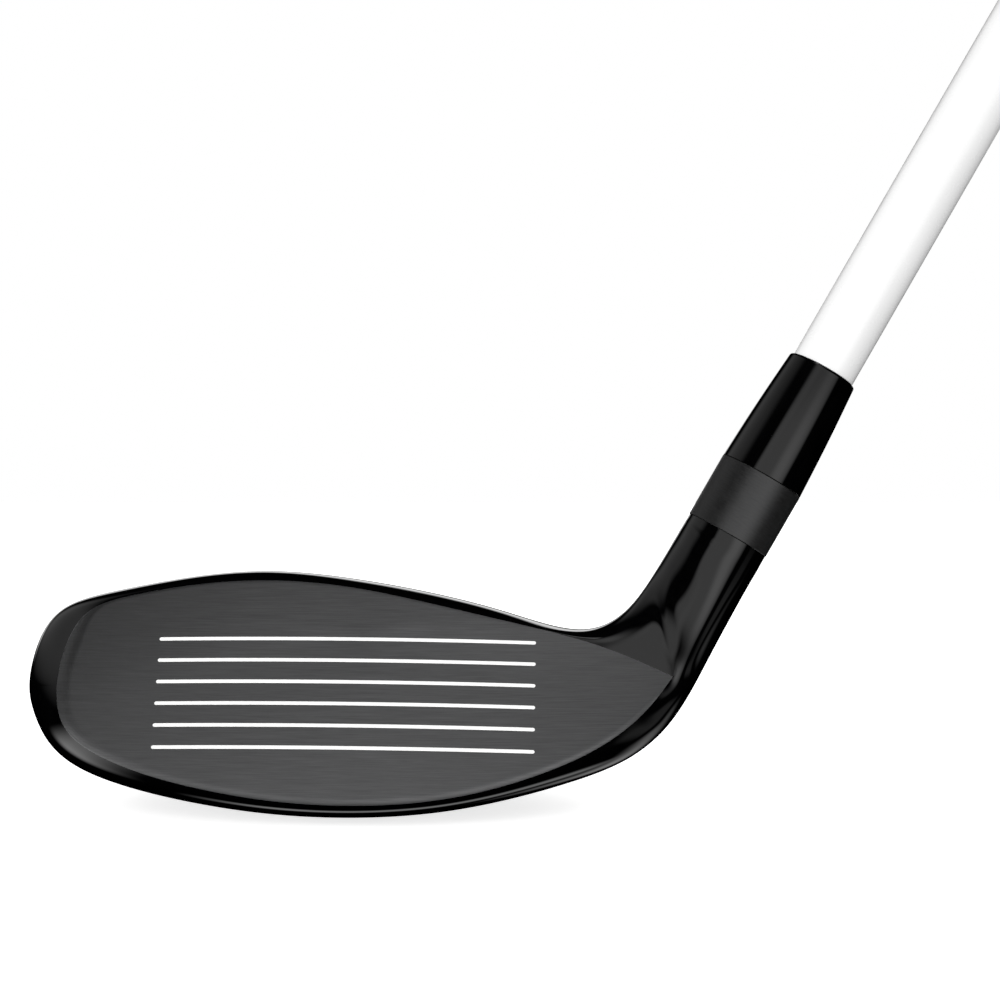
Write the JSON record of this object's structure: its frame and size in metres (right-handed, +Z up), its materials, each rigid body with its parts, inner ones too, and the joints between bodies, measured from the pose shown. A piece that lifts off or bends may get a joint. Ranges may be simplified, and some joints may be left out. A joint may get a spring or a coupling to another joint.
{
  "type": "hybrid golf club",
  "caption": "Hybrid golf club with a hollow black head, brushed scored face, bonded hosel and ferrule, white shaft and rubber grip.",
  "frame": {"origin": "point of the sole that rests on the ground, below the middle of the face, on the plane of the shaft", "axes": "+Z up, -Y the way the face looks (down the target line), -X toward the toe, +X the way the shaft leans"},
  "size_m": [0.6011, 0.0624, 0.8917],
  "materials": {
    "gloss_black": "gloss",
    "brushed_steel": "brushed",
    "bare_steel": "brushed",
    "line_paint": "satin",
    "screw_steel": "satin",
    "gasket_rubber": "matte",
    "weight_metal": "satin",
    "hot_melt": "satin",
    "epoxy": "satin",
    "cork": "matte",
    "ferrule_black": "gloss",
    "shaft_white": "gloss",
    "pin_brass": "satin",
    "tape_paper": "matte",
    "grip_rubber": "matte"
  },
  "bodies": {
    "root": {"head_body": "gloss_black", "crown_plate": "gloss_black", "face_plate": "brushed_steel", "score_line_paint": "line_paint", "weight_screw": "screw_steel", "weight_gasket": "gasket_rubber", "sole_weight_bar": "weight_metal", "hot_melt_dab": "hot_melt", "hosel_sleeve": "bare_steel", "hosel_plug": "cork", "shaft_bond": "epoxy", "ferrule": "ferrule_black", "shaft": "shaft_white", "tip_weight_pin": "pin_brass", "grip_tape": "tape_paper", "grip_sleeve": "grip_rubber", "grip_cap": "grip_rubber"}
  },
  "joints": []
}
